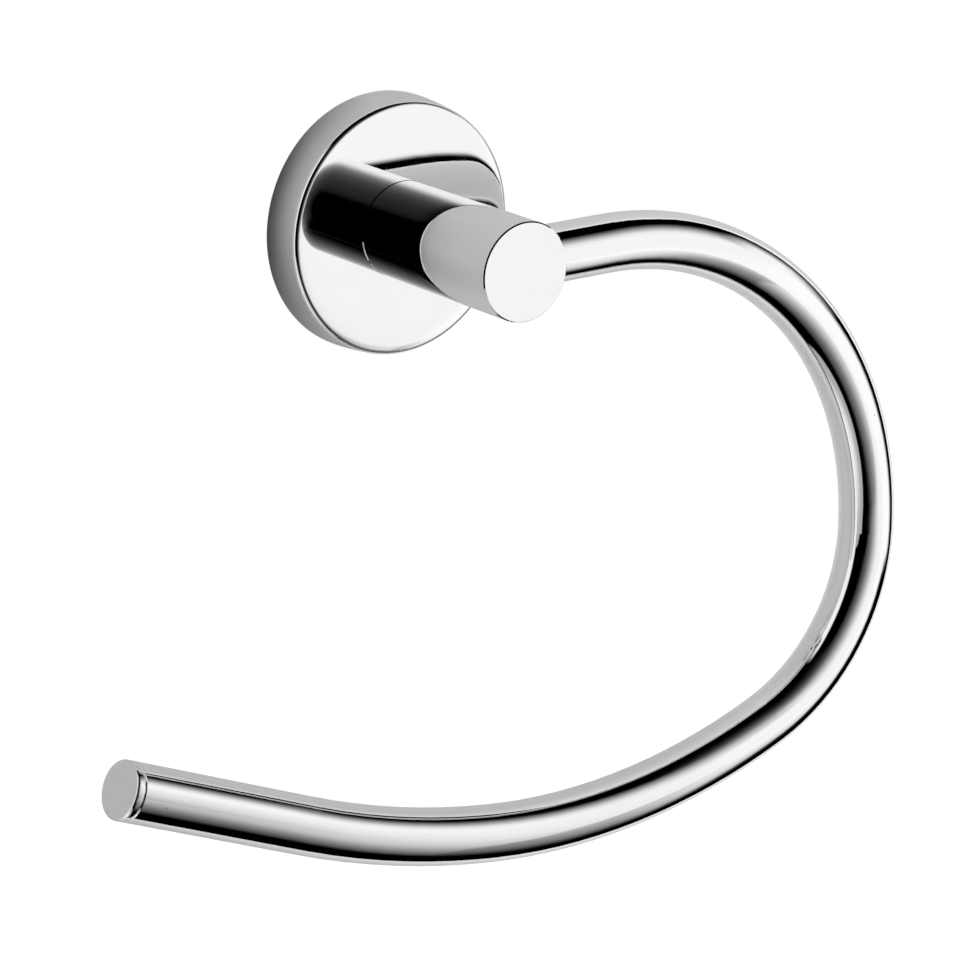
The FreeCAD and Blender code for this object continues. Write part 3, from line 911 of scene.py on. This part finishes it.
def make_board_paint():
    """Light grey board, painted lighter towards the right, with the rose's painted shadow
    darkening it where it meets the rose's left side, and clear from behind.
    """
    material, graph = new_material("Board paint")
    place = graph.place()
    # Painted light: the board lighter towards the right, and lighter further out
    plain = graph.spread(graph.parts(place)["X"], *BOARD_PAINTED_LIGHT_SIDEWAYS)
    away = graph.vector("LENGTH", {0: place})["Value"]
    plain = graph.math("MULTIPLY", plain, graph.spread(away, *BOARD_OUTWARDS))
    # Painted shadow of the rose on the board, darkest beside the rose's left side
    aim = graph.vector("NORMALIZE", {0: place})[0]
    towards_left = graph.vector("DOT_PRODUCT", {0: aim, 1: PAINTED_SHADOW_SIDE})["Value"]
    painted_shadow = graph.blend(
        1.0, graph.curve(away, BOARD_PAINTED_SHADOW), graph.spread(towards_left, *PAINTED_SHADOW_REACH)
    )
    colour = graph.math("MULTIPLY", plain, painted_shadow)
    front = graph.add("ShaderNodeBsdfDiffuse", {}, {"Color": colour}).outputs[0]
    graph.surface(graph.clear_from_behind(front))
    return material


def fill_tent(build, radius):
    """A round tent in front of the piece, open at the wall."""
    last = math.acos(-TENT_BACK)
    tip = build.verts.new((0.0, -radius, 0.0))
    before = None
    for ring in range(1, TENT_RINGS + 1):
        lean = last * ring / TENT_RINGS
        width = radius * math.sin(lean)
        depth = -radius * math.cos(lean)
        row = [
            build.verts.new((width * math.cos(turn), depth, width * math.sin(turn)))
            for turn in turns(TENT_AROUND)
        ]
        for step in range(TENT_AROUND):
            after = (step + 1) % TENT_AROUND
            if before is None:
                build.faces.new((tip, row[after], row[step]))
            else:
                build.faces.new((before[step], before[after], row[after], row[step]))
        before = row


def direction_parts(graph):
    """How far a spot of the tent lies to the right, to the back and up, seen from its middle."""
    parts = graph.parts(graph.vector("NORMALIZE", {0: graph.place()})[0])
    return parts["X"], parts["Y"], parts["Z"]


def make_tent_light():
    """Black tent with a tall soft screen, a bright one on its right and a table below them.

    A small screen stands low on the left, and the upper right is open towards the far screen.
    """
    material, graph = new_material("Tent light")
    right, back, up = direction_parts(graph)

    def across(lean):
        """How far a spot lies towards one side."""
        first = graph.math("MULTIPLY", right, math.cos(lean))
        return graph.math("MULTIPLY_ADD", up, math.sin(lean), first)

    def times(*factors):
        """The product of several numbers."""
        product = factors[0]
        for factor in factors[1:]:
            product = graph.math("MULTIPLY", product, factor)
        return product

    rim_shade = graph.spread(back, *RIM_SHADE)
    bow = graph.math("MINIMUM", times(up, up, SCREEN_BOW), SCREEN_BOW_MOST)
    sideways = graph.curve(graph.math("SUBTRACT", right, bow), SCREEN_SIDEWAYS)
    screen = times(sideways, graph.curve(up, SCREEN_UPWARDS), rim_shade)
    towards_side = across(SIDE_LEAN)
    side_screen = graph.spread(back, *SIDE_BACKWARDS)
    screen = graph.blend(screen, side_screen, graph.spread(towards_side, *SIDE_START))

    table = graph.blend(
        graph.curve(right, TABLE_SIDEWAYS),
        graph.curve(right, TABLE_CORNER),
        graph.spread(towards_side, *TABLE_CORNER_START),
    )
    table_end = graph.spread(across(TABLE_END_LEAN), *TABLE_END)
    table = times(table, graph.curve(up, TABLE_UPWARDS), table_end, rim_shade)

    above_table = graph.spread(up, *TABLE_TOP)
    towards_corner = across(LEFT_EDGE_LEAN)
    left_edge = graph.blend(
        graph.spread(towards_corner, *TABLE_LEFT_EDGE),
        graph.spread(towards_corner, *SCREEN_LEFT_EDGE),
        above_table,
    )
    glow = times(graph.blend(table, screen, above_table), left_edge)

    low_screen = times(
        graph.curve(across(LOW_SCREEN_LEAN), LOW_SCREEN),
        graph.spread(across(LOW_SCREEN_TOP_LEAN), *LOW_SCREEN_TOP),
    )
    gap = times(
        graph.spread(back, *GAP_BACKWARDS),
        graph.spread(up, *GAP_UPWARDS),
        graph.spread(right, *GAP_SIDEWAYS),
    )
    glow = graph.math("ADD", glow, graph.math("MAXIMUM", low_screen, gap))

    opening = times(graph.spread(up, *OPENING_UPWARDS), graph.spread(right, *OPENING_SIDEWAYS))
    graph.surface(graph.either(opening, graph.glow(glow, TENT_STRENGTH), graph.clear()))
    return material


def make_far_light():
    """Tall screen far behind the tent's opening; it fades towards the wall and the ceiling."""
    material, graph = new_material("Far light")
    right, back, up = direction_parts(graph)
    from_wall = graph.math("SUBTRACT", right, back)
    height = graph.math("MAXIMUM", up, FAR_LOWEST)
    from_wall = graph.math("MULTIPLY_ADD", height, FAR_RISE, from_wall)
    from_wall = graph.math("ADD", from_wall, graph.spread(right, *FAR_SIDE))
    graph.surface(graph.glow(graph.curve(from_wall, FAR_SCREEN), TENT_STRENGTH))
    return material


def fill_shade_sheet(build):
    """An upright sheet in front of the bar's free end, that carries painted shade into its
    reflection.
    """
    outline = (
        (SHADE_SHEET_LEFT, SHADE_SHEET_LOWEST),
        (SHADE_SHEET_RIGHT, SHADE_SHEET_LOWEST),
        (SHADE_SHEET_RIGHT, SHADE_SHEET_HIGHEST),
        (SHADE_SHEET_LEFT, SHADE_SHEET_HIGHEST),
    )
    build.faces.new([build.verts.new((x, SHADE_SHEET_PLACE, z)) for x, z in outline])


def make_shade_sheet():
    """Painted shade: a clear sheet that darkens what the bar's free end mirrors, most of all at
    the bar's height.
    """
    material, graph = new_material("Painted shade sheet")
    parts = graph.parts(graph.place())
    height = graph.math("ADD", parts["Z"], SHADE_SHEET_MIDDLE)
    rise = graph.math("MULTIPLY_ADD", parts["X"], SHADE_SHEET_LEAN, height)
    shade_fade = graph.spread(parts["X"], *SHADE_SHEET_SIDEWAYS)
    # Painted shade: how much the sheet darkens, by height, fading towards the right
    darkness = graph.math("MULTIPLY", graph.curve(rise, SHADE_SHEET_DARKNESS), shade_fade)
    graph.surface(graph.clear({"Color": graph.spread(darkness, *SHADE_SHEET_PASSES)}))
    return material


def fill_floor(build):
    """A plain square floor that is seen from above alone."""
    corners = ((-1.0, -1.0), (1.0, -1.0), (1.0, 1.0), (-1.0, 1.0))
    build.faces.new(
        [build.verts.new((x * FLOOR_HALF, y * FLOOR_HALF, FLOOR_HEIGHT)) for x, y in corners]
    )


def make_floor_paint():
    """Pale floor: white to the eye, with the object's shadow."""
    material, graph = new_material("Floor paint")
    cloud = graph.noise(graph.place(), FLOOR_CLOUD_SCALE)["Fac"]
    colour = graph.tone(cloud, FLOOR_DARK, FLOOR_LIGHT)
    paint = graph.add("ShaderNodeBsdfDiffuse", {}, {"Color": colour}).outputs[0]
    glow = graph.glow(WHITE, graph.math("MULTIPLY", graph.seen(), FLOOR_LIFT))
    lit = graph.add("ShaderNodeAddShader", {}, {0: paint, 1: glow}).outputs[0]
    graph.surface(graph.clear_from_behind(lit))
    return material


board = add_mesh_object("Wall board", fill_board)
board.data.materials.append(make_board_paint())
board.visible_camera = False
tent = add_mesh_object("Light tent", lambda build: fill_tent(build, TENT_RADIUS))
tent.location = TENT_CENTRE
tent.data.materials.append(make_tent_light())
show_in_reflections_alone(tent)
far_tent = add_mesh_object("Far tent", lambda build: fill_tent(build, FAR_TENT_RADIUS))
far_tent.location = STUDIO_CENTRE
far_tent.data.materials.append(make_far_light())
show_in_reflections_alone(far_tent)
# Painted shade in the reflection of the bar's free end, seen in polished metal alone
shade_sheet = add_mesh_object("Shade sheet", fill_shade_sheet)
shade_sheet.data.materials.append(make_shade_sheet())
show_in_reflections_alone(shade_sheet)
shade_sheet.visible_transmission = False
floor = add_mesh_object("Floor", fill_floor)
floor.data.materials.append(make_floor_paint())


def light_world():
    """Plain even light, and a white background to the eye and in the metal."""
    world = bpy.data.worlds.new("Plain light")
    world.use_nodes = True
    world.node_tree.nodes.clear()
    graph = Graph(world.node_tree)
    soft, white = (
        graph.add("ShaderNodeBackground", {}, {"Color": WHITE, "Strength": level}).outputs[0]
        for level in (WORLD_LEVEL, BACKGROUND_LEVEL)
    )
    lit = graph.either(graph.seen(), soft, white)
    graph.add("ShaderNodeOutputWorld", {}, {"Surface": lit})
    scene.world = world


def add_lamp(name, place, width, power):
    """A soft square lamp that looks at the piece and isn't mirrored in it."""
    lamp = bpy.data.lights.new(name, "AREA")
    lamp.shape = "SQUARE"
    lamp.size = width
    lamp.energy = power
    placed = bpy.data.objects.new(name, lamp)
    placed.location = place
    placed.rotation_euler = (STUDIO_CENTRE - Vector(place)).to_track_quat("-Z", "Y").to_euler()
    placed.visible_glossy = False
    scene.collection.objects.link(placed)


def add_camera():
    """The camera where the photographer stood."""
    eye_aim = Vector(
        (
            math.sin(CAMERA_AZIMUTH) * math.cos(CAMERA_ELEVATION),
            -math.cos(CAMERA_AZIMUTH) * math.cos(CAMERA_ELEVATION),
            math.sin(CAMERA_ELEVATION),
        )
    )
    lens = bpy.data.cameras.new("Camera")
    lens.sensor_width = CAMERA_SENSOR
    lens.lens = CAMERA_LENS
    lens.clip_start = CAMERA_NEAREST
    lens.clip_end = CAMERA_FARTHEST
    camera = bpy.data.objects.new("Camera", lens)
    camera.location = CAMERA_TARGET + eye_aim * CAMERA_DISTANCE
    camera.rotation_mode = "QUATERNION"
    camera.rotation_quaternion = (-eye_aim).to_track_quat("-Z", "Y")
    scene.collection.objects.link(camera)
    scene.camera = camera


light_world()
add_lamp("Key lamp", place=(0.9, -1.1, 0.5), width=0.9, power=7.0)
add_lamp("Fill lamp", place=(-1.1, -1.0, 0.3), width=1.2, power=2.5)
add_camera()
scene.view_settings.view_transform = "Standard"
